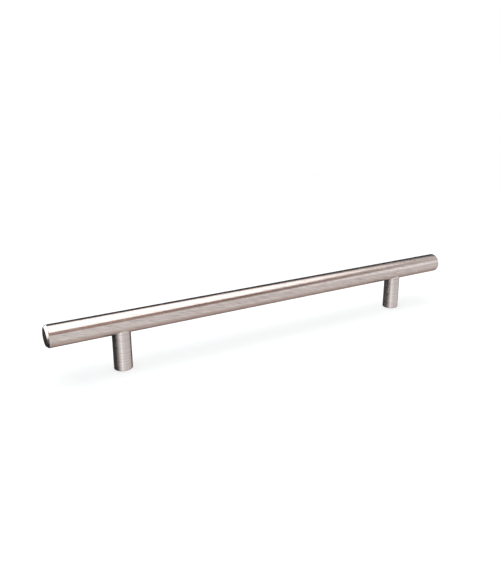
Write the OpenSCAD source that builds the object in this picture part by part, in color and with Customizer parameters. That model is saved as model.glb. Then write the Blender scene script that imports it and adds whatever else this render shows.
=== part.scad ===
// Bar pull for a cabinet door or a drawer.
// A straight round bar is held off the door by two turned posts. Each post stands in a
// flat-bottomed seat milled up into the underside of the bar, and a headless stud inside
// the joint draws the two together. A screw through the door goes into each foot.
//
// The door's face is Z = 0 and +Z points away from it. The bar lies along X, and the
// origin is midway between the two posts.

/* [Bar] */
// Diameter of the bar
bar_d = 12; // [11:0.5:15]
// Length of the bar past the axis of each post
overhang = 39; // [15:1:120]
// Width of the 45 degree bevel round each end of the bar
end_bevel = 1.2; // [0.2:0.1:2]

/* [Posts] */
// Distance between the axes of the posts, and so of the screw holes
hole_centres = 192; // [64:32:480]
// Diameter of each post
post_d = 10; // [8:0.5:10.5]
// Distance from the door to the outermost line of the bar
projection = 32; // [28:1:60]
// Width of the 45 degree bevel round the foot of each post
foot_bevel = 0.3; // [0.1:0.1:1]

/* [Seats in the bar] */
// Depth of each seat, from the lowest line of the bar up to the seat's flat floor
seat_depth = 3.5; // [2.8:0.1:4.5]
// Gap all round a post in its seat
seat_gap = 0.02; // [0.01:0.01:0.1]
// Width of the 45 degree bevel that leads the top of a post into its seat
lead_bevel = 0.3; // [0.1:0.1:1]

/* [Screw holes in the feet] */
// Tapping drill for the fixing screw, 3.3 for M4
screw_drill_d = 3.3; // [2.5:0.1:4.2]
// Depth of each screw hole at its full diameter
screw_depth = 10; // [6:0.5:12]
// Diameter of the countersunk mouth of each screw hole
screw_mouth_d = 4.5; // [4.3:0.1:6]

/* [Stud holes] */
// Tapping drill for the joining stud, 4.2 for M5
stud_drill_d = 4.2; // [4:0.1:5]
// Diameter of the countersunk mouth of each stud hole
stud_mouth_d = 5.2; // [5.1:0.1:6]
// Room left past each end of a stud
stud_end_room = 0.5; // [0.2:0.1:1]
// Full angle of the drill's point, at the bottom of every hole
drill_point = 118; // [90:1:135]

/* [Joining studs] */
// Gap between the core of a stud and the wall of its hole
thread_gap = 0.05; // [0.02:0.01:0.2]
// Length of each stud held in the bar
stud_in_bar = 4; // [3:0.5:5]
// Length of each stud held in its post
stud_in_post = 6; // [3:0.5:7]
// Width of the 45 degree bevel round each end of a stud
stud_bevel = 0.4; // [0.1:0.1:0.6]
// Width across the flats of a stud's hexagon socket
socket_flats = 2.5; // [1.5:0.5:2.5]
// Depth of a stud's hexagon socket
socket_depth = 3; // [1.5:0.5:4]

/* [Hidden] */
$fn = 96;
brushed_steel = [0.78, 0.74, 0.72];
dark_steel = [0.36, 0.36, 0.38];
sides = [-1, 1];
hexagon = 6;
// How far a cutting shape starts outside the metal
cut = 0.5;

bar_r = bar_d / 2;
bar_length = hole_centres + 2 * overhang;
bar_axis_z = projection - bar_r;
post_r = post_d / 2;
seat_r = post_r + seat_gap;
seat_z = bar_axis_z - bar_r + seat_depth;
stud_r = stud_drill_d / 2 - thread_gap;
stud_length = stud_in_post + stud_in_bar;
socket_r = socket_flats / 2 / cos(180 / hexagon);

// Round rod that stands on Z = 0, with a 45 degree bevel round each end
module bevelled_rod(radius, length, low_bevel, high_bevel) {
    rotate_extrude()
        polygon([
            [0, 0],
            [radius - low_bevel, 0],
            [radius, low_bevel],
            [radius, length - high_bevel],
            [radius - high_bevel, length],
            [0, length]
        ]);
}

// Blind hole drilled upwards from Z = 0: countersunk mouth, straight wall, drill point
module blind_hole(drill_d, mouth_d, depth) {
    wall_r = drill_d / 2;
    mouth_r = mouth_d / 2;
    point_height = wall_r / tan(drill_point / 2);
    rotate_extrude()
        polygon([
            [0, -cut],
            [mouth_r + cut, -cut],
            [wall_r, mouth_r - wall_r],
            [wall_r, depth],
            [0, depth + point_height]
        ]);
}

// Seat for one post, with the tapped hole for its stud in the seat's floor
module post_seat() {
    seat_start = bar_axis_z - bar_r - cut;
    translate([0, 0, seat_start])
        cylinder(r = seat_r, h = seat_z - seat_start);
    translate([0, 0, seat_z])
        blind_hole(stud_drill_d, stud_mouth_d, stud_in_bar + stud_end_room);
}

// Turned post, from the door up to the floor of its seat
module post() {
    difference() {
        bevelled_rod(post_r, seat_z, foot_bevel, lead_bevel);
        blind_hole(screw_drill_d, screw_mouth_d, screw_depth);
        translate([0, 0, seat_z])
            mirror([0, 0, 1])
                blind_hole(stud_drill_d, stud_mouth_d, stud_in_post + stud_end_room);
    }
}

// Headless stud across the joint, its socket facing the post
module stud() {
    translate([0, 0, seat_z - stud_in_post])
        difference() {
            bevelled_rod(stud_r, stud_length, stud_bevel, stud_bevel);
            translate([0, 0, -cut])
                cylinder(r = socket_r, h = socket_depth + cut, $fn = hexagon);
        }
}

module bar() {
    color(brushed_steel)
        difference() {
            translate([-bar_length / 2, 0, bar_axis_z])
                rotate([0, 90, 0])
                    bevelled_rod(bar_r, bar_length, end_bevel, end_bevel);
            for (side = sides)
                translate([side * hole_centres / 2, 0, 0])
                    post_seat();
        }
}

module post_left() {
    color(brushed_steel)
        translate([-hole_centres / 2, 0, 0])
            post();
}

module post_right() {
    color(brushed_steel)
        translate([hole_centres / 2, 0, 0])
            post();
}

module joining_studs() {
    color(dark_steel)
        for (side = sides)
            translate([side * hole_centres / 2, 0, 0])
                stud();
}

bar();
post_left();
post_right();
joining_studs();
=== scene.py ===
"""Bar pull for a cabinet door, in brushed nickel, on a plain white studio table.

A straight round bar stands on two turned posts. A headless stud inside each joint
holds bar and post together, and each foot is tapped for the screw that fixes the pull.
The bar lies along X, the door's face is Z = 0, and every length is in metres.
"""

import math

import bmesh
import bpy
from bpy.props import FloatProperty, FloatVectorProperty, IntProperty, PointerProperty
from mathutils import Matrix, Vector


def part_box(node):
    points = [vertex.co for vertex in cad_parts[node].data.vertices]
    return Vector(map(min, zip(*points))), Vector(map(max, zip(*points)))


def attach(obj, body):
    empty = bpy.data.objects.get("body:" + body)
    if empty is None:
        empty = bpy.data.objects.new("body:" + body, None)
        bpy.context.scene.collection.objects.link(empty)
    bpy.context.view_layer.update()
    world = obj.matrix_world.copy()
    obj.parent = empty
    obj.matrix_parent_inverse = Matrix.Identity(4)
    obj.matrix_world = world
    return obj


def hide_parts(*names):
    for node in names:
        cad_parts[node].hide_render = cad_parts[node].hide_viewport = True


bl_info = {
    "name": "Cabinet bar pull",
    "version": (1, 0, 0),
    "blender": (4, 5, 0),
    "location": "3D View > Sidebar > Bar pull",
    "description": "Models a brushed nickel bar pull and the studio that it is shown in",
    "category": "Add Mesh",
}

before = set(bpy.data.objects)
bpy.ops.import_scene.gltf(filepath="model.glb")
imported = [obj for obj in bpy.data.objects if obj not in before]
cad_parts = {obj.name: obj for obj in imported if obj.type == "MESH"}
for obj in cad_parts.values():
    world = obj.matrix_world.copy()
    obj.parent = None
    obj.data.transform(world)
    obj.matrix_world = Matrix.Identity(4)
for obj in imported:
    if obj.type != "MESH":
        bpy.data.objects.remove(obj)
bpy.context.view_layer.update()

MM = 0.001
BODY = "root"
SIDES = {"left": -1, "right": 1}

BAR_LOW, BAR_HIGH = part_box("bar")
POST_LOW, POST_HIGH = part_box("post_right")
STUD_LOW, STUD_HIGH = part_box("joining_studs")

# How far a cutting shape starts outside the metal
CUT = 1 * MM
# A point nearer than this to an axis lies on it
ON_AXIS = 1e-7
# Square of the most that the normal of a turned face leans to the side
SIDE_LEAN = 1e-4
# Edges that turn by more than this stay sharp, outside the turned faces
SMOOTH_ANGLE = math.radians(30)
# Slope of a thread's flanks, and its depth and crest as shares of the pitch
FLANK_ANGLE = math.radians(30)
THREAD_DEPTH = 0.65
THREAD_CREST = 0.125
# Full angle of a drill's point
DRILL_POINT = math.radians(118)
# Segments round a hole or a stud, one turn of a thread and a hexagon socket
HOLE_STEPS = 96
THREAD_STEPS = 48
HEXAGON = 6
# Shares of the fine lines, the broad lines and the clouds in the brushed finish
FINE_SHARE = 0.4
BROAD_SHARE = 0.7
CLOUD_SHARE = 0.1
# Size of one cloud, a patch that is a little lighter or rougher
CLOUD_SIZE = 16 * MM


class PullSizes(bpy.types.PropertyGroup):
    """Sizes of the pull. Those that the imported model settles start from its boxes."""

    bar_diameter: FloatProperty(
        name="Bar diameter",
        description="Diameter of the round bar",
        default=BAR_HIGH.y - BAR_LOW.y,
        unit="LENGTH",
    )
    bar_length: FloatProperty(
        name="Bar length",
        description="Length of the bar from end to end",
        default=BAR_HIGH.x - BAR_LOW.x,
        unit="LENGTH",
    )
    bar_height: FloatProperty(
        name="Bar height",
        description="Height of the bar's axis above the door",
        default=(BAR_HIGH.z + BAR_LOW.z) / 2,
        unit="LENGTH",
    )
    end_bevel: FloatProperty(
        name="End bevel",
        description="Width of the 45 degree bevel round each end of the bar",
        default=1.2 * MM,
        unit="LENGTH",
    )
    hole_centres: FloatProperty(
        name="Hole centres",
        description="Distance between the axes of the two posts",
        default=POST_HIGH.x + POST_LOW.x,
        unit="LENGTH",
    )
    post_diameter: FloatProperty(
        name="Post diameter",
        description="Diameter of each post",
        default=POST_HIGH.x - POST_LOW.x,
        unit="LENGTH",
    )
    seat_height: FloatProperty(
        name="Seat height",
        description="Height of the flat floor of each seat, where the post ends",
        default=POST_HIGH.z,
        unit="LENGTH",
    )
    seat_gap: FloatProperty(
        name="Seat gap",
        description="Gap all round a post in its seat",
        default=0.02 * MM,
        unit="LENGTH",
    )
    foot_bevel: FloatProperty(
        name="Foot bevel",
        description="Width of the 45 degree bevel round the foot and the top of a post",
        default=0.3 * MM,
        unit="LENGTH",
    )
    edge_round: FloatProperty(
        name="Edge rounding",
        description="Radius left on every turned edge by the brushing",
        default=0.18 * MM,
        unit="LENGTH",
    )
    shoulder_round: FloatProperty(
        name="Shoulder rounding",
        description="Radius of the edge between the bar's side and its end bevel",
        default=0.6 * MM,
        unit="LENGTH",
    )
    round_steps: IntProperty(
        name="Segments round",
        description="Flat segments round the bar and the posts",
        default=192,
        min=24,
    )


class ThreadSizes(bpy.types.PropertyGroup):
    """Sizes of the threads: M4 in the feet, M5 in the joints."""

    screw_diameter: FloatProperty(
        name="Screw diameter",
        description="Outside diameter of the fixing screw's thread",
        default=4 * MM,
        unit="LENGTH",
    )
    screw_pitch: FloatProperty(
        name="Screw pitch",
        description="Pitch of the fixing screw's thread",
        default=0.7 * MM,
        unit="LENGTH",
    )
    screw_drill: FloatProperty(
        name="Screw drill",
        description="Tapping drill of the fixing screw",
        default=3.3 * MM,
        unit="LENGTH",
    )
    screw_mouth: FloatProperty(
        name="Screw hole mouth",
        description="Diameter of the countersunk mouth in the foot",
        default=4.5 * MM,
        unit="LENGTH",
    )
    screw_depth: FloatProperty(
        name="Screw hole depth",
        description="Depth of the fixing screw's hole at its full diameter",
        default=10 * MM,
        unit="LENGTH",
    )
    stud_diameter: FloatProperty(
        name="Stud diameter",
        description="Outside diameter of the joining stud's thread",
        default=5 * MM,
        unit="LENGTH",
    )
    stud_pitch: FloatProperty(
        name="Stud pitch",
        description="Pitch of the joining stud's thread",
        default=0.8 * MM,
        unit="LENGTH",
    )
    stud_drill: FloatProperty(
        name="Stud drill",
        description="Tapping drill of the joining stud",
        default=4.2 * MM,
        unit="LENGTH",
    )
    stud_mouth: FloatProperty(
        name="Stud hole mouth",
        description="Diameter of the countersunk mouth of a stud hole",
        default=5.2 * MM,
        unit="LENGTH",
    )
    stud_room: FloatProperty(
        name="Stud end room",
        description="Room left past each end of a stud",
        default=0.5 * MM,
        unit="LENGTH",
    )
    socket_flats: FloatProperty(
        name="Socket width",
        description="Width across the flats of the stud's hexagon socket",
        default=2.5 * MM,
        unit="LENGTH",
    )
    socket_depth: FloatProperty(
        name="Socket depth",
        description="Depth of the stud's hexagon socket",
        default=3 * MM,
        unit="LENGTH",
    )


class PullFinish(bpy.types.PropertyGroup):
    """Colours and brushing of the metal."""

    bar_colour: FloatVectorProperty(
        name="Bar colour",
        description="Colour of the brushed nickel on the bar",
        default=(0.575, 0.515, 0.490),
        subtype="COLOR",
        min=0,
        max=1,
    )
    post_colour: FloatVectorProperty(
        name="Post colour",
        description="Colour of the turned nickel on the posts",
        default=(0.565, 0.515, 0.500),
        subtype="COLOR",
        min=0,
        max=1,
    )
    stud_colour: FloatVectorProperty(
        name="Stud colour",
        description="Colour of the dark steel of the studs",
        default=(0.110, 0.110, 0.120),
        subtype="COLOR",
        min=0,
        max=1,
    )
    bar_roughness: FloatProperty(
        name="Bar roughness",
        description="Mean roughness of the bar",
        default=0.25,
        min=0,
        max=1,
    )
    post_roughness: FloatProperty(
        name="Post roughness",
        description="Mean roughness of the posts",
        default=0.25,
        min=0,
        max=1,
    )
    bar_line: FloatProperty(
        name="Bar line width",
        description="Width of one fine brush line on the bar",
        default=0.18 * MM,
        unit="LENGTH",
    )
    bar_slant: FloatProperty(
        name="Bar line slant",
        description="Slant of the brush lines from the bar's length",
        default=math.radians(-13),
        subtype="ANGLE",
    )
    bar_tone: FloatProperty(
        name="Bar line contrast",
        description="How far the brush lines lighten and darken the bar",
        default=0.27,
        min=0,
    )
    post_line: FloatProperty(
        name="Post line width",
        description="Width of one turning line round a post",
        default=0.40 * MM,
        unit="LENGTH",
    )
    post_tone: FloatProperty(
        name="Post line contrast",
        description="How far the turning lines lighten and darken the posts",
        default=0.33,
        min=0,
    )


class StudioSettings(bpy.types.PropertyGroup):
    """The table, the lamp and the white room."""

    floor_colour: FloatVectorProperty(
        name="Table colour",
        description="Colour of the plain table top",
        default=(0.60, 0.60, 0.60),
        subtype="COLOR",
        min=0,
        max=1,
    )
    floor_lift: FloatProperty(
        name="Table lift",
        description="Light added to the table as it is seen, which brings it up to white",
        default=0.50,
        min=0,
    )
    lamp_radiance: FloatProperty(
        name="Softbox brightness",
        description="Brightness of the overhead softbox, where white paper is 1",
        default=2.05,
        min=0,
    )
    room_level: FloatProperty(
        name="Room level",
        description="Share of the white room's light that reaches the table",
        default=0.25,
        min=0,
        max=1,
    )


# Mesh tools


def rounded_outline(points, steps=6):
    """The outline through points of (x, y, corner radius), with each corner as an arc."""
    outline = []
    for i, (x, y, radius) in enumerate(points):
        corner = Vector((x, y))
        if radius == 0 or i in (0, len(points) - 1):
            outline.append(corner)
            continue
        before = (Vector(points[i - 1][:2]) - corner).normalized()
        after = (Vector(points[i + 1][:2]) - corner).normalized()
        half = before.angle(after) / 2
        centre = corner + (before + after).normalized() * radius / math.sin(half)
        start = corner + before * radius / math.tan(half) - centre
        end = corner + after * radius / math.tan(half) - centre
        for step in range(steps + 1):
            outline.append(centre + start.lerp(end, step / steps).normalized() * radius)
    return outline


def with_rings(outline, spacing):
    """The outline with its long straight stretches cut into equal lengths near spacing."""
    cut = [outline[0]]
    for start, end in zip(outline, outline[1:]):
        pieces = max(1, round((end - start).length / spacing))
        cut.extend(start.lerp(end, i / pieces) for i in range(1, pieces + 1))
    return cut


def turned(name, outline, steps):
    """An object turned about Z from an outline of (radius, height) that ends on the axis."""
    mesh = bmesh.new()
    rings = []
    for radius, height in outline:
        if radius < ON_AXIS:
            rings.append([mesh.verts.new((0, 0, height))])
            continue
        angles = [2 * math.pi * i / steps for i in range(steps)]
        rings.append([
            mesh.verts.new((radius * math.cos(a), radius * math.sin(a), height))
            for a in angles
        ])
    for low, high in zip(rings, rings[1:]):
        for i in range(steps):
            j = (i + 1) % steps
            corners = [low[i % len(low)], low[j % len(low)],
                       high[j % len(high)], high[i % len(high)]]
            mesh.faces.new(dict.fromkeys(corners))
    bmesh.ops.recalc_face_normals(mesh, faces=mesh.faces)
    return as_object(name, mesh)


def as_object(name, mesh):
    """A new object in the scene with the built mesh as its data."""
    data = bpy.data.meshes.new(name)
    mesh.to_mesh(data)
    mesh.free()
    made = bpy.data.objects.new(name, data)
    bpy.context.scene.collection.objects.link(made)
    return made


def thread_ridge(name, start, end, root, crest, crest_width, pitch):
    """One screw ridge about Z, which fades out over half a turn at both ends."""
    mesh = bmesh.new()
    count = round((end - start) / pitch * THREAD_STEPS)
    fade = THREAD_STEPS / 2
    # The ends stand this many steps of the fade above the root, so that no face closes up
    first = 0.2
    loops = []
    for i in range(count + 1):
        turn = start / pitch + i / THREAD_STEPS
        angle = 2 * math.pi * turn
        height = start + i * pitch / THREAD_STEPS
        share = min(1, (i + first) / fade, (count - i + first) / fade)
        top = root + (crest - root) * share
        half_top = crest_width / 2
        half_root = half_top + (top - root) * math.tan(FLANK_ANGLE)
        section = [(root, -half_root), (top, -half_top), (top, half_top), (root, half_root)]
        loops.append([
            mesh.verts.new((r * math.cos(angle), r * math.sin(angle), height + z))
            for r, z in section
        ])
    for one, two in zip(loops, loops[1:]):
        for i in range(len(one)):
            j = (i + 1) % len(one)
            mesh.faces.new((one[i], one[j], two[j], two[i]))
    mesh.faces.new(loops[0])
    mesh.faces.new(loops[-1])
    bmesh.ops.recalc_face_normals(mesh, faces=mesh.faces)
    return as_object(name, mesh)


def place(made, matrix):
    """Moves the mesh of an object, which itself stays at the origin."""
    made.data.transform(matrix)
    if matrix.determinant() < 0:
        made.data.flip_normals()
    return made


def combine(base, others, operation):
    """Joins the other objects to base, or cuts them out of it, and removes them."""
    for other in others:
        step = base.modifiers.new("step", "BOOLEAN")
        step.operation = operation
        step.solver = "EXACT"
        step.object = other
        graph = bpy.context.evaluated_depsgraph_get()
        result = bpy.data.meshes.new_from_object(base.evaluated_get(graph))
        if not result.polygons:
            raise RuntimeError(f"Nothing is left of {base.name} after {other.name}")
        base.modifiers.clear()
        base.data = result
        bpy.data.objects.remove(other)
    base.data.name = base.name
    return base


def shade_turned(made, axes):
    """Smooth normals, exact on every face that was turned about one of the axes.

    axes holds pairs of a point and a direction. Other faces, such as a thread's
    flanks, are smooth except at their sharp edges.
    """
    data = made.data
    data.shade_smooth()
    data.set_sharp_from_angle(angle=SMOOTH_ANGLE)
    normals = [Vector(corner.vector) for corner in data.corner_normals]
    for face in data.polygons:
        for point, axis in axes:
            across = face.center - point
            across -= axis * across.dot(axis)
            if across.length < ON_AXIS:
                continue
            across.normalize()
            along = face.normal.dot(axis)
            outward = face.normal.dot(across)
            if abs(along * along + outward * outward - 1) > SIDE_LEAN:
                continue
            for loop in face.loop_indices:
                corner = data.vertices[data.loops[loop].vertex_index].co - point
                corner = corner - axis * corner.dot(axis)
                if corner.length > ON_AXIS:
                    normals[loop] = axis * along + corner.normalized() * outward
                else:
                    normals[loop] = axis * math.copysign(1, along)
            break
    data.normals_split_custom_set([n.normalized() for n in normals])


def finish_piece(made, node, material, axes):
    """Shades a piece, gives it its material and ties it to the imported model."""
    shade_turned(made, axes)
    made.data.materials.clear()
    made.data.materials.append(material)
    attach(made, BODY)
    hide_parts(node)


# Holes


def drilled_hole(name, radius, mouth, depth):
    """The shape of a blind hole that goes up from Z = 0, mouth and drill point included."""
    point = radius / math.tan(DRILL_POINT / 2)
    outline = [
        (0, -CUT),
        (mouth + CUT, -CUT),
        (radius, mouth - radius),
        (radius, depth),
        (0, depth + point),
    ]
    return turned(name, [Vector(p) for p in outline], HOLE_STEPS)


def screw_thread(name, start, end, radius, pitch):
    """The groove that a tap cuts, reaching radius, from start to end along Z."""
    return thread_ridge(
        name, start, end, root=radius - THREAD_DEPTH * pitch, crest=radius,
        crest_width=THREAD_CREST * pitch, pitch=pitch,
    )


# Materials


def link(tree, source, target):
    """Joins an output socket to an input socket."""
    tree.links.new(source, target)


def node_of(tree, kind, place=(0, 0), **settings):
    """A new shader node at a place in the node editor, with its settings."""
    made = tree.nodes.new(kind)
    made.location = place
    for key, value in settings.items():
        setattr(made, key, value)
    return made


def math_node(tree, operation, *values, place=(0, 0)):
    """A Math node fed by numbers or sockets, and its output socket."""
    made = node_of(tree, "ShaderNodeMath", place, operation=operation)
    for socket, value in zip(made.inputs, values):
        if isinstance(value, bpy.types.NodeSocket):
            link(tree, value, socket)
        else:
            socket.default_value = value
    return made.outputs[0]


def group_sockets(group, inputs, outputs):
    """Gives a node group its sockets, each as (name, type, default)."""
    for way, sockets in (("INPUT", inputs), ("OUTPUT", outputs)):
        for name, kind, default in sockets:
            made = group.interface.new_socket(name=name, in_out=way, socket_type=kind)
            if default is not None:
                made.default_value = default


def turned_place_group():
    """A point's place on a turned piece: its step across the turning lines, then its sides.

    Height less radius makes the step, so it grows along the sides, bevels and ends alike.
    """
    name = "Turned place"
    if name in bpy.data.node_groups:
        return bpy.data.node_groups[name]
    group = bpy.data.node_groups.new(name, "ShaderNodeTree")
    group_sockets(
        group,
        [
            ("Along", "NodeSocketFloat", 0.0),
            ("Side A", "NodeSocketFloat", 0.0),
            ("Side B", "NodeSocketFloat", 0.0),
        ],
        [("Place", "NodeSocketVector", None)],
    )
    inside = node_of(group, "NodeGroupInput", (-1000, 0))
    outside = node_of(group, "NodeGroupOutput", (300, 0))
    along, side_a, side_b = (inside.outputs[word] for word in ("Along", "Side A", "Side B"))
    squares = math_node(
        group,
        "ADD",
        math_node(group, "MULTIPLY", side_a, side_a, place=(-800, 200)),
        math_node(group, "MULTIPLY", side_b, side_b, place=(-800, 0)),
        place=(-600, 100),
    )
    radius = math_node(group, "SQRT", squares, place=(-450, 100))
    height = math_node(group, "ABSOLUTE", along, place=(-450, 300))
    joined = node_of(group, "ShaderNodeCombineXYZ", (100, 0))
    link(group, math_node(group, "SUBTRACT", height, radius, place=(-200, 200)), joined.inputs[0])
    link(group, side_a, joined.inputs[1])
    link(group, side_b, joined.inputs[2])
    link(group, joined.outputs[0], outside.inputs["Place"])
    return group


def brushed_finish_group():
    """Colour, roughness and height of metal brushed in fine and broad lines."""
    name = "Brushed finish"
    if name in bpy.data.node_groups:
        return bpy.data.node_groups[name]
    group = bpy.data.node_groups.new(name, "ShaderNodeTree")
    group_sockets(
        group,
        [
            ("Place", "NodeSocketVector", None),
            ("Fine line", "NodeSocketVector", None),
            ("Broad line", "NodeSocketVector", None),
            ("Colour", "NodeSocketColor", (0.5, 0.5, 0.5, 1)),
            ("Tone", "NodeSocketFloat", 0.05),
            ("Roughness", "NodeSocketFloat", 0.3),
            ("Unevenness", "NodeSocketFloat", 0.03),
        ],
        [
            ("Colour", "NodeSocketColor", None),
            ("Roughness", "NodeSocketFloat", None),
            ("Height", "NodeSocketFloat", None),
        ],
    )
    inside = node_of(group, "NodeGroupInput", (-1000, 0))
    outside = node_of(group, "NodeGroupOutput", (900, 0))
    place_in = inside.outputs["Place"]

    def noise_over(cell, detail, row):
        """Noise about 0, seldom past -1 or 1, with cells of that size."""
        gain = 4.0
        divided = node_of(group, "ShaderNodeVectorMath", (-700, row), operation="DIVIDE")
        link(group, place_in, divided.inputs[0])
        if isinstance(cell, float):
            divided.inputs[1].default_value = (cell, cell, cell)
        else:
            link(group, cell, divided.inputs[1])
        noise = node_of(group, "ShaderNodeTexNoise", (-500, row))
        noise.inputs["Scale"].default_value = 1.0
        noise.inputs["Detail"].default_value = detail
        noise.inputs["Roughness"].default_value = 0.5
        link(group, divided.outputs[0], noise.inputs["Vector"])
        return math_node(
            group, "MULTIPLY_ADD", noise.outputs["Fac"], gain, -gain / 2, place=(-300, row)
        )

    fine = noise_over(inside.outputs["Fine line"], detail=1.0, row=400)
    broad = noise_over(inside.outputs["Broad line"], detail=2.0, row=100)
    clouds = noise_over(CLOUD_SIZE, detail=2.0, row=-200)
    lines = math_node(
        group,
        "ADD",
        math_node(group, "MULTIPLY", fine, FINE_SHARE, place=(-100, 400)),
        math_node(group, "MULTIPLY", broad, BROAD_SHARE, place=(-100, 100)),
        place=(100, 300),
    )
    mottle = math_node(group, "MULTIPLY_ADD", clouds, CLOUD_SHARE, lines, place=(250, 200))
    bright = math_node(
        group, "MULTIPLY_ADD", mottle, inside.outputs["Tone"], 1.0, place=(400, 300)
    )
    tint = node_of(group, "ShaderNodeVectorMath", (600, 300), operation="SCALE")
    link(group, inside.outputs["Colour"], tint.inputs[0])
    link(group, bright, tint.inputs["Scale"])
    link(group, tint.outputs[0], outside.inputs["Colour"])
    wear = math_node(group, "ADD", broad, clouds, place=(250, -100))
    rough = math_node(
        group, "MULTIPLY_ADD", wear, inside.outputs["Unevenness"], inside.outputs["Roughness"],
        place=(600, -100),
    )
    link(group, rough, outside.inputs["Roughness"])
    link(group, lines, outside.inputs["Height"])
    return group


def brushed_finish(tree, place_in, fine, broad, colour, tone, roughness, unevenness):
    """One brushed finish in a material, with lines of the given widths and lengths."""
    finish = node_of(tree, "ShaderNodeGroup", (-700, 0), node_tree=brushed_finish_group())
    link(tree, place_in, finish.inputs["Place"])
    finish.inputs["Fine line"].default_value = fine
    finish.inputs["Broad line"].default_value = broad
    finish.inputs["Colour"].default_value = (*colour, 1)
    finish.inputs["Tone"].default_value = tone
    finish.inputs["Roughness"].default_value = roughness
    finish.inputs["Unevenness"].default_value = unevenness
    return finish.outputs


def turned_place(tree, along, side_a, side_b):
    """The place of a point on a turned piece, from three sockets."""
    made = node_of(tree, "ShaderNodeGroup", (-900, 0), node_tree=turned_place_group())
    for word, socket in (("Along", along), ("Side A", side_a), ("Side B", side_b)):
        link(tree, socket, made.inputs[word])
    return made.outputs["Place"]


def metal_shader(name, spin_axis, stretch):
    """A metal whose highlights are drawn out along spin_axis, and its node tree."""
    material = bpy.data.materials.new(name)
    material.use_nodes = True
    tree = material.node_tree
    shader = tree.nodes["Principled BSDF"]
    shader.inputs["Metallic"].default_value = 1.0
    shader.inputs["Anisotropic"].default_value = stretch
    # A quarter turn lays the stretch along the axis and not round it
    shader.inputs["Anisotropic Rotation"].default_value = 0.25
    tangent = node_of(
        tree, "ShaderNodeTangent", (-300, -500), direction_type="RADIAL", axis=spin_axis
    )
    link(tree, tangent.outputs[0], shader.inputs["Tangent"])
    return material, tree, shader


def object_place(tree):
    """The object's own X, Y and Z sockets."""
    position = node_of(tree, "ShaderNodeTexCoord", (-1700, 0))
    parts = node_of(tree, "ShaderNodeSeparateXYZ", (-1500, 0))
    link(tree, position.outputs["Object"], parts.inputs[0])
    return parts.outputs


def wear_finish(tree, shader, colour, roughness, height, depth):
    """Feeds a finish to the shader, with its height as bumps of that depth."""
    link(tree, colour, shader.inputs["Base Color"])
    link(tree, roughness, shader.inputs["Roughness"])
    bump = node_of(tree, "ShaderNodeBump", (-200, -250))
    bump.inputs["Strength"].default_value = 1.0
    bump.inputs["Distance"].default_value = depth
    link(tree, height, bump.inputs["Height"])
    link(tree, bump.outputs[0], shader.inputs["Normal"])


def mixed(tree, kind, mask, low, high):
    """low where the mask is 0 and high where it is 1, of floats or of colours."""
    made = node_of(tree, "ShaderNodeMix", (-400, 0), data_type=kind)
    # The node's sockets A, B and Result for each kind of data
    first, second, result = {"FLOAT": (2, 3, 0), "RGBA": (6, 7, 2)}[kind]
    link(tree, mask, made.inputs[0])
    link(tree, low, made.inputs[first])
    link(tree, high, made.inputs[second])
    return made.outputs[result]


def bar_material(finish, sizes):
    """Long slanting brush lines on the bar's side, and turned rings on its ends."""
    material, tree, shader = metal_shader("Brushed nickel bar", spin_axis="X", stretch=0.6)
    x, y, z = object_place(tree)
    height = math_node(tree, "SUBTRACT", z, sizes.bar_height, place=(-1300, -200))

    centred = node_of(tree, "ShaderNodeCombineXYZ", (-1100, 200))
    for socket, source in zip(centred.inputs, (x, y, height)):
        link(tree, source, socket)
    slant = math.tan(finish.bar_slant) / (sizes.bar_diameter / 2)
    twist = node_of(tree, "ShaderNodeVectorRotate", (-900, 200), rotation_type="X_AXIS")
    link(tree, centred.outputs[0], twist.inputs["Vector"])
    link(tree, math_node(tree, "MULTIPLY", x, slant, place=(-1100, 400)), twist.inputs["Angle"])

    look = {
        "colour": finish.bar_colour,
        "tone": finish.bar_tone,
        "roughness": finish.bar_roughness,
        "unevenness": 0.006,
    }
    line = finish.bar_line
    side = brushed_finish(
        tree,
        twist.outputs[0],
        fine=(line * 20, line, line),
        broad=(line * 40, line * 3, line * 3),
        **look,
    )
    rings = brushed_finish(
        tree,
        turned_place(tree, x, y, height),
        fine=(line, 6 * MM, 6 * MM),
        broad=(line * 4, 12 * MM, 12 * MM),
        **look,
    )
    end = math_node(
        tree, "GREATER_THAN", math_node(tree, "ABSOLUTE", x, place=(-1300, 500)),
        sizes.bar_length / 2 - sizes.end_bevel, place=(-700, 500),
    )
    wear_finish(
        tree, shader,
        mixed(tree, "RGBA", end, side["Colour"], rings["Colour"]),
        mixed(tree, "FLOAT", end, side["Roughness"], rings["Roughness"]),
        mixed(tree, "FLOAT", end, side["Height"], rings["Height"]),
        depth=line * 0.006,
    )
    return material


def post_space(tree, sizes):
    """The place of a point on either post or either stud."""
    x, y, z = object_place(tree)
    aside = math_node(
        tree, "SUBTRACT", math_node(tree, "ABSOLUTE", x, place=(-1300, 100)),
        sizes.hole_centres / 2, place=(-1100, 100),
    )
    return turned_place(tree, z, aside, y)


def post_material(finish, sizes):
    """Fine turning lines round the posts, on their feet and tops too."""
    name = "Turned nickel posts"
    if name in bpy.data.materials:
        return bpy.data.materials[name]
    material, tree, shader = metal_shader(name, spin_axis="Z", stretch=0.75)
    line = finish.post_line
    look = brushed_finish(
        tree,
        post_space(tree, sizes),
        fine=(line * 0.8, 30 * MM, 30 * MM),
        broad=(line * 2, 60 * MM, 60 * MM),
        colour=finish.post_colour,
        tone=finish.post_tone,
        roughness=finish.post_roughness,
        unevenness=0.015,
    )
    wear_finish(
        tree, shader, look["Colour"], look["Roughness"], look["Height"], depth=line * 0.01
    )
    return material


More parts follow.
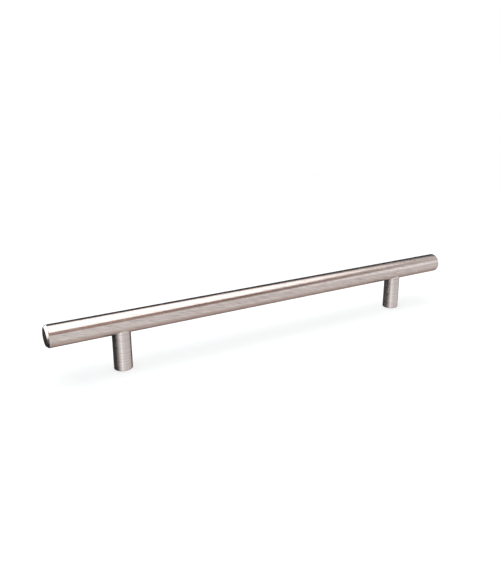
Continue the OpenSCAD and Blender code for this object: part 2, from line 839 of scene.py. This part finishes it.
def stud_material(finish, sizes):
    """Plain dark steel, with the faint lines of the rolled thread."""
    material, tree, shader = metal_shader("Dark stud steel", spin_axis="Z", stretch=0.5)
    look = brushed_finish(
        tree,
        post_space(tree, sizes),
        fine=(0.08 * MM, 3 * MM, 3 * MM),
        broad=(0.4 * MM, 4 * MM, 4 * MM),
        colour=finish.stud_colour,
        tone=0.12,
        roughness=0.4,
        unevenness=0.03,
    )
    wear_finish(
        tree, shader, look["Colour"], look["Roughness"], look["Height"], depth=0.001 * MM
    )
    return material


# Operators


class PULL_OT_bar(bpy.types.Operator):
    """Build the round bar, with its seats and the tapped holes for the studs"""

    bl_idname = "pull.bar"
    bl_label = "Bar"

    def execute(self, context):
        sizes = context.scene.pull_sizes
        threads = context.scene.pull_threads
        radius = sizes.bar_diameter / 2
        half = sizes.bar_length / 2
        bevel, edge, shoulder = sizes.end_bevel, sizes.edge_round, sizes.shoulder_round
        outline = rounded_outline([
            (0, -half, 0),
            (radius - bevel, -half, edge),
            (radius, -half + bevel, shoulder),
            (radius, half - bevel, shoulder),
            (radius - bevel, half, edge),
            (0, half, 0),
        ])
        bar = turned("round_bar", with_rings(outline, radius), sizes.round_steps)
        upright = Matrix.Rotation(math.radians(90), 4, "Y")
        place(bar, Matrix.Translation((0, 0, sizes.bar_height)) @ upright)

        seat_radius = sizes.post_diameter / 2 + sizes.seat_gap
        below = sizes.bar_height - radius - CUT
        stud_top = STUD_HIGH.z - sizes.seat_height
        axes = [(Vector((0, 0, sizes.bar_height)), Vector((1, 0, 0)))]
        for side in SIDES.values():
            middle = Vector((side * sizes.hole_centres / 2, 0, 0))
            seat = turned(
                "seat",
                [Vector(p) for p in (
                    (0, below), (seat_radius, below),
                    (seat_radius, sizes.seat_height), (0, sizes.seat_height),
                )],
                sizes.round_steps,
            )
            hole = drilled_hole(
                "stud hole", threads.stud_drill / 2, threads.stud_mouth / 2,
                stud_top + threads.stud_room,
            )
            place(hole, Matrix.Translation((0, 0, sizes.seat_height)))
            groove = screw_thread(
                "stud thread", sizes.seat_height - threads.stud_pitch,
                STUD_HIGH.z, threads.stud_diameter / 2, threads.stud_pitch,
            )
            cutters = [seat, hole, groove]
            for cutter in cutters:
                place(cutter, Matrix.Translation(middle))
            combine(bar, cutters, "DIFFERENCE")
            axes.append((middle, Vector((0, 0, 1))))
        finish = context.scene.pull_finish
        finish_piece(bar, "bar", bar_material(finish, sizes), axes)
        return {"FINISHED"}


class PULL_OT_posts(bpy.types.Operator):
    """Build the two turned posts, each tapped at the foot and at the top"""

    bl_idname = "pull.posts"
    bl_label = "Posts"

    def execute(self, context):
        sizes = context.scene.pull_sizes
        threads = context.scene.pull_threads
        for word, side in SIDES.items():
            self.build_post(context, sizes, threads, word, side)
        return {"FINISHED"}

    def build_post(self, context, sizes, threads, word, side):
        """Build one post, on the side given by its word and by -1 or 1"""
        radius, top = sizes.post_diameter / 2, sizes.seat_height
        bevel, edge = sizes.foot_bevel, sizes.edge_round
        outline = rounded_outline([
            (0, 0, 0),
            (radius - bevel, 0, edge / 2),
            (radius, bevel, edge / 2),
            (radius, top - bevel, edge / 2),
            (radius - bevel, top, edge / 2),
            (0, top, 0),
        ])
        post = turned(f"{word}_post", with_rings(outline, radius / 2), sizes.round_steps)
        foot_hole = drilled_hole(
            "screw hole", threads.screw_drill / 2, threads.screw_mouth / 2, threads.screw_depth
        )
        foot_thread = screw_thread(
            "screw thread", -threads.screw_pitch, threads.screw_depth - threads.screw_pitch / 2,
            threads.screw_diameter / 2, threads.screw_pitch,
        )
        top_hole = drilled_hole(
            "stud hole", threads.stud_drill / 2, threads.stud_mouth / 2,
            top - STUD_LOW.z + threads.stud_room,
        )
        place(top_hole, Matrix.Translation((0, 0, top)) @ Matrix.Scale(-1, 4, (0, 0, 1)))
        top_thread = screw_thread(
            "stud thread", STUD_LOW.z, top + threads.stud_pitch,
            threads.stud_diameter / 2, threads.stud_pitch,
        )
        combine(post, [foot_hole, foot_thread, top_hole, top_thread], "DIFFERENCE")
        middle = Vector((side * sizes.hole_centres / 2, 0, 0))
        place(post, Matrix.Translation(middle))
        finish = context.scene.pull_finish
        finish_piece(
            post, f"post_{word}", post_material(finish, sizes),
            [(middle, Vector((0, 0, 1)))],
        )


class PULL_OT_studs(bpy.types.Operator):
    """Build the two headless studs that hold the joints together"""

    bl_idname = "pull.studs"
    bl_label = "Joining studs"

    def execute(self, context):
        sizes = context.scene.pull_sizes
        threads = context.scene.pull_threads
        material = stud_material(context.scene.pull_finish, sizes)
        for word, side in SIDES.items():
            middle = Vector((side * sizes.hole_centres / 2, 0, 0))
            stud = self.build_stud(threads, f"{word}_stud")
            place(stud, Matrix.Translation(middle))
            finish_piece(
                stud, "joining_studs", material,
                [(middle, Vector((0, 0, 1)))],
            )
        return {"FINISHED"}

    def build_stud(self, threads, name):
        """Build one stud about Z, with its rolled thread and its hexagon socket"""
        radius = (STUD_HIGH.y - STUD_LOW.y) / 2
        bevel = 0.4 * MM
        edge = 0.05 * MM
        plain_end = 0.3 * MM
        sunk = 0.1 * MM
        play = 0.04 * MM
        low, high = STUD_LOW.z, STUD_HIGH.z
        outline = rounded_outline([
            (0, low, 0),
            (radius - bevel, low, edge),
            (radius, low + bevel, edge),
            (radius, high - bevel, edge),
            (radius - bevel, high, edge),
            (0, high, 0),
        ])
        stud = turned(name, with_rings(outline, radius), HOLE_STEPS)
        ridge = thread_ridge(
            "ridge",
            start=low + bevel + plain_end,
            end=high - bevel - plain_end,
            root=radius - sunk,
            crest=threads.stud_diameter / 2 - play,
            crest_width=0.06 * MM,
            pitch=threads.stud_pitch,
        )
        combine(stud, [ridge], "UNION")
        corner = threads.socket_flats / 2 / math.cos(math.pi / HEXAGON)
        floor = low + threads.socket_depth
        key = turned(
            "hexagon key",
            [Vector(p) for p in (
                (0, low - CUT), (corner, low - CUT), (corner, floor), (0, floor + corner / 2),
            )],
            HEXAGON,
        )
        return combine(stud, [key], "DIFFERENCE")


# The studio


def direction(azimuth, elevation):
    """Unit vector at an azimuth from the front, turning towards +X, and an elevation."""
    a, e = math.radians(azimuth), math.radians(elevation)
    return Vector((math.sin(a) * math.cos(e), -math.cos(a) * math.cos(e), math.sin(e)))


def seen_rays(tree):
    """1 for rays that come from the camera or a shiny or clear surface, else 0."""
    path = node_of(tree, "ShaderNodeLightPath", (-900, 300))
    shiny = math_node(
        tree, "MAXIMUM", path.outputs["Is Glossy Ray"], path.outputs["Is Transmission Ray"],
        place=(-700, 200),
    )
    return math_node(tree, "MAXIMUM", path.outputs["Is Camera Ray"], shiny, place=(-500, 300))


def build_world(studio):
    """A white room, which lights the table at a lower level than it shows."""
    world = bpy.data.worlds.new("White room")
    world.use_nodes = True
    bpy.context.scene.world = world
    tree = world.node_tree
    background = tree.nodes["Background"]
    background.inputs["Color"].default_value = (1, 1, 1, 1)
    level = node_of(tree, "ShaderNodeMapRange", (-300, 300))
    level.inputs["To Min"].default_value = studio.room_level
    level.inputs["To Max"].default_value = 1.0
    link(tree, seen_rays(tree), level.inputs["Value"])
    link(tree, level.outputs[0], background.inputs["Strength"])


def build_floor(studio):
    """A round white table top that fades into the room and keeps the pull's shadow.

    It is clear from below, so that the feet can be seen.
    """
    reach = 0.9
    fade_start, fade_end = 0.4 * reach, 0.9 * reach
    # Just below the feet, so that the two surfaces never coincide
    level = -0.01 * MM
    outline = [Vector((0, level)), Vector((reach, level))]
    floor = turned("table_top", with_rings(outline, reach / 4), steps=64)
    floor.data.flip_normals()
    material = bpy.data.materials.new("White table")
    material.use_nodes = True
    tree = material.node_tree
    output = tree.nodes["Material Output"]
    tree.nodes.remove(tree.nodes["Principled BSDF"])
    paint = node_of(tree, "ShaderNodeBsdfDiffuse", (0, 200))
    paint.inputs["Color"].default_value = (*studio.floor_colour, 1)
    lift = node_of(tree, "ShaderNodeEmission", (0, 0))
    link(
        tree, math_node(tree, "MULTIPLY", seen_rays(tree), studio.floor_lift, place=(-200, 0)),
        lift.inputs["Strength"],
    )
    lit = node_of(tree, "ShaderNodeAddShader", (200, 100))
    link(tree, paint.outputs[0], lit.inputs[0])
    link(tree, lift.outputs[0], lit.inputs[1])
    clear = node_of(tree, "ShaderNodeBsdfTransparent", (200, -100))
    position = node_of(tree, "ShaderNodeTexCoord", (-900, -200))
    radius = node_of(tree, "ShaderNodeVectorMath", (-700, -200), operation="LENGTH")
    link(tree, position.outputs["Object"], radius.inputs[0])
    fade = node_of(tree, "ShaderNodeMapRange", (-400, -200), interpolation_type="SMOOTHSTEP")
    fade.inputs["From Min"].default_value = fade_start
    fade.inputs["From Max"].default_value = fade_end
    link(tree, radius.outputs["Value"], fade.inputs["Value"])
    side = node_of(tree, "ShaderNodeNewGeometry", (-400, -500))
    gone = math_node(
        tree, "MAXIMUM", fade.outputs[0], side.outputs["Backfacing"], place=(0, -300)
    )
    surface = node_of(tree, "ShaderNodeMixShader", (400, 0))
    link(tree, gone, surface.inputs[0])
    link(tree, lit.outputs[0], surface.inputs[1])
    link(tree, clear.outputs[0], surface.inputs[2])
    link(tree, surface.outputs[0], output.inputs["Surface"])
    floor.data.materials.append(material)
    floor.visible_glossy = False


def card_material(name, colour, strength, soft):
    """An evenly lit card whose left, right, bottom and top fade over the shares in soft."""
    material = bpy.data.materials.new(name)
    material.use_nodes = True
    tree = material.node_tree
    output = tree.nodes["Material Output"]
    tree.nodes.remove(tree.nodes["Principled BSDF"])
    glow = node_of(tree, "ShaderNodeEmission", (0, 100))
    glow.inputs["Color"].default_value = (*colour, 1)
    glow.inputs["Strength"].default_value = strength
    clear = node_of(tree, "ShaderNodeBsdfTransparent", (0, -100))
    place_on = node_of(tree, "ShaderNodeUVMap", (-1100, 0), uv_map="card")
    parts = node_of(tree, "ShaderNodeSeparateXYZ", (-900, 0))
    link(tree, place_on.outputs[0], parts.inputs[0])
    mask = None
    for axis, edge_at, share in zip("XXYY", (0, 1, 0, 1), soft):
        if share == 0:
            continue
        fade = node_of(tree, "ShaderNodeMapRange", (-400, 0), interpolation_type="SMOOTHSTEP")
        fade.inputs["From Min"].default_value = edge_at
        fade.inputs["From Max"].default_value = abs(edge_at - share)
        link(tree, parts.outputs[axis], fade.inputs["Value"])
        part = fade.outputs[0]
        mask = part if mask is None else math_node(tree, "MULTIPLY", mask, part, place=(-200, 0))
    blend = node_of(tree, "ShaderNodeMixShader", (200, 0))
    link(tree, mask, blend.inputs[0])
    link(tree, clear.outputs[0], blend.inputs[1])
    link(tree, glow.outputs[0], blend.inputs[2])
    link(tree, blend.outputs[0], output.inputs["Surface"])
    return material


def grid_card(name, across, up, point_at, material):
    """A card of across by up quads, with point_at giving its corners from 0 to 1."""
    mesh = bmesh.new()
    layer = mesh.loops.layers.uv.new("card")
    rows = [
        [mesh.verts.new(point_at(i / across, j / up)) for i in range(across + 1)]
        for j in range(up + 1)
    ]
    for j in range(up):
        for i in range(across):
            places = [(i, j), (i + 1, j), (i + 1, j + 1), (i, j + 1)]
            face = mesh.faces.new([rows[y][x] for x, y in places])
            for loop, (x, y) in zip(face.loops, places):
                loop[layer].uv = (x / across, y / up)
    card = as_object(name, mesh)
    card.data.materials.append(material)
    card.visible_camera = False
    card.visible_diffuse = False
    card.visible_shadow = False
    card.visible_transmission = False
    return card


def between(points, at):
    """The height at a place between points of (place, height), by straight lines."""
    for (left, low), (right, high) in zip(points, points[1:]):
        if left <= at <= right:
            return low + (high - low) * (at - left) / (right - left)
    return points[0][1] if at < points[0][0] else points[-1][1]


def bent_card(name, azimuths, lows, highs, distance, colour, strength, soft):
    """A card bent round the pull like part of a ball.

    It goes from one azimuth to another. lows and highs hold (azimuth, elevation) points
    of its edges, and soft the shares of it that fade: start, end, bottom and top.
    """
    start, end = azimuths

    def point_at(u, v):
        azimuth = start + (end - start) * u
        low, high = between(lows, azimuth), between(highs, azimuth)
        return direction(azimuth, low + (high - low) * v) * distance

    material = card_material(name, colour, strength, soft)
    return grid_card(name, across=72, up=18, point_at=point_at, material=material)


def flat_card(name, low, high, height, colour, strength, soft):
    """A level card between two corners in plan."""

    def point_at(u, v):
        return Vector((low[0] + (high[0] - low[0]) * u, low[1] + (high[1] - low[1]) * v, height))

    material = card_material(name, colour, strength, soft)
    return grid_card(name, across=2, up=2, point_at=point_at, material=material)


def build_cards():
    """The dark and light cards that draw the bands along the metal."""
    # Brown room above eye level, seen between the white band and the front of the bar
    bent_card(
        "dark_canopy",
        azimuths=(-180, 180),
        lows=[
            (-180, 25), (-60, 17), (-40, 17), (10, 19), (26, 20), (36, 22),
            (45, 24), (52, 28), (61, 34), (75, 42), (180, 25),
        ],
        highs=[(0, 89)],
        distance=2.0,
        colour=(1.0, 0.45, 0.28),
        strength=0.20,
        soft=(0, 0, 0.11, 0),
    )
    # Dark back and left, seen in the bar's top line, its left end and the posts' left sides
    bent_card(
        "dark_wall",
        azimuths=(-292, -43),
        lows=[(0, -75)],
        highs=[(0, 48)],
        distance=1.5,
        colour=(1.0, 0.95, 0.93),
        strength=0.03,
        soft=(0.22, 0.2, 0.05, 0.03),
    )
    # Lightens the brown line towards the left end of the bar
    bent_card(
        "gap_glow",
        azimuths=(0, 26),
        lows=[(0, 26)],
        highs=[(0, 50)],
        distance=1.6,
        colour=(1.0, 0.75, 0.65),
        strength=0.85,
        soft=(0.2, 0.5, 0.3, 0.1),
    )
    # Takes a little off the white room in the bar's front and the posts' right sides
    bent_card(
        "right_shade",
        azimuths=(5, 95),
        lows=[(0, -36)],
        highs=[(32, 13), (46, 3)],
        distance=1.45,
        colour=(1.0, 0.97, 0.96),
        strength=0.88,
        soft=(0.15, 0.15, 0.23, 0.12),
    )
    # Soft highlight down the left half of each post
    bent_card(
        "front_fill",
        azimuths=(-49, -14),
        lows=[(0, -60)],
        highs=[(0, 8)],
        distance=1.0,
        colour=(1, 1, 1),
        strength=1.4,
        soft=(0.35, 0.35, 0.2, 0.2),
    )
    # Carries the white band on, fading, to the right end of the bar
    flat_card(
        "softbox_tail",
        low=(0.80, -0.3),
        high=(1.33, 0.75),
        height=1.06,
        colour=(1.0, 0.86, 0.80),
        strength=0.95,
        soft=(0.1, 0.85, 0.35, 0.3),
    )
    # Lightens the front of the bar towards its right end
    bent_card(
        "right_fill",
        azimuths=(34, 66),
        lows=[(0, 2)],
        highs=[(0, 30)],
        distance=1.3,
        colour=(1, 1, 1),
        strength=1.4,
        soft=(0.4, 0.3, 0.4, 0.35),
    )
    # Lights the bevel ring of the left end
    bent_card(
        "left_softbox",
        azimuths=(-175, -71),
        lows=[(-96, 3), (-86, -12)],
        highs=[(0, 48)],
        distance=1.2,
        colour=(1, 1, 1),
        strength=2.6,
        soft=(0.12, 0.12, 0.15, 0.2),
    )
    # Brown shade under the pull, seen in the lowest part of the bar
    flat_card(
        "table_shade",
        low=(-0.22, -0.5),
        high=(0.65, 0.31),
        height=-0.3,
        colour=(1.0, 0.76, 0.68),
        strength=0.56,
        soft=(0.12, 0.12, 0.86, 0.28),
    )


def build_lamp(studio):
    """A wide round softbox overhead, which makes the white band along the bar."""
    width = 1.74
    centre = (0.02, 0.015, 1.05)
    lamp = bpy.data.lights.new("overhead_softbox", "AREA")
    lamp.shape = "DISK"
    lamp.size = width
    area = math.pi * width * width / 4
    lamp.energy = studio.lamp_radiance * math.pi * area
    lamp.color = (0.96, 1.0, 1.02)
    holder = bpy.data.objects.new("overhead_softbox", lamp)
    holder.location = centre
    bpy.context.scene.collection.objects.link(holder)


def build_camera():
    """The camera that took the photograph, worked out from the pull's own outlines."""
    focal_length = 38.73
    distance = 353.763 * MM
    target = Vector((-16.838, 0, 35.767)) * MM
    away = direction(azimuth=-30.868, elevation=17.305)
    camera = bpy.data.cameras.new("camera")
    camera.lens = focal_length
    camera.sensor_width = 36
    camera.clip_start = 0.01
    holder = bpy.data.objects.new("camera", camera)
    holder.location = target + away * distance
    holder.rotation_euler = (-away).to_track_quat("-Z", "Y").to_euler()
    bpy.context.scene.collection.objects.link(holder)
    bpy.context.scene.camera = holder


class PULL_OT_stage(bpy.types.Operator):
    """Build the white table, the softbox, the cards and the camera"""

    bl_idname = "pull.stage"
    bl_label = "Studio"

    def execute(self, context):
        studio = context.scene.pull_studio
        context.scene.view_settings.view_transform = "Standard"
        build_world(studio)
        build_floor(studio)
        build_lamp(studio)
        build_cards()
        build_camera()
        return {"FINISHED"}


class PULL_PT_panel(bpy.types.Panel):
    """Lists the steps that build the pull"""

    bl_idname = "PULL_PT_panel"
    bl_label = "Bar pull"
    bl_space_type = "VIEW_3D"
    bl_region_type = "UI"
    bl_category = "Bar pull"

    def draw(self, context):
        layout = self.layout
        for group in GROUPS:
            box = layout.box()
            settings = getattr(context.scene, group)
            for name in settings.bl_rna.properties.keys():
                if name not in ("rna_type", "name"):
                    box.prop(settings, name)
        for operator in OPERATORS:
            layout.operator(operator.bl_idname)


GROUPS = {
    "pull_sizes": PullSizes,
    "pull_threads": ThreadSizes,
    "pull_finish": PullFinish,
    "pull_studio": StudioSettings,
}
OPERATORS = (PULL_OT_bar, PULL_OT_posts, PULL_OT_studs, PULL_OT_stage)
CLASSES = (*GROUPS.values(), *OPERATORS, PULL_PT_panel)


def register():
    """Registers the classes, and gives every scene its groups of settings."""
    for cls in CLASSES:
        bpy.utils.register_class(cls)
    for name, group in GROUPS.items():
        setattr(bpy.types.Scene, name, PointerProperty(type=group))


def unregister():
    """Takes the groups of settings and the classes away again."""
    for name in GROUPS:
        delattr(bpy.types.Scene, name)
    for cls in reversed(CLASSES):
        bpy.utils.unregister_class(cls)


def main():
    """Builds the pull and its studio."""
    register()
    bpy.ops.pull.stage()
    bpy.ops.pull.bar()
    bpy.ops.pull.posts()
    bpy.ops.pull.studs()


if __name__ == "__main__":
    main()
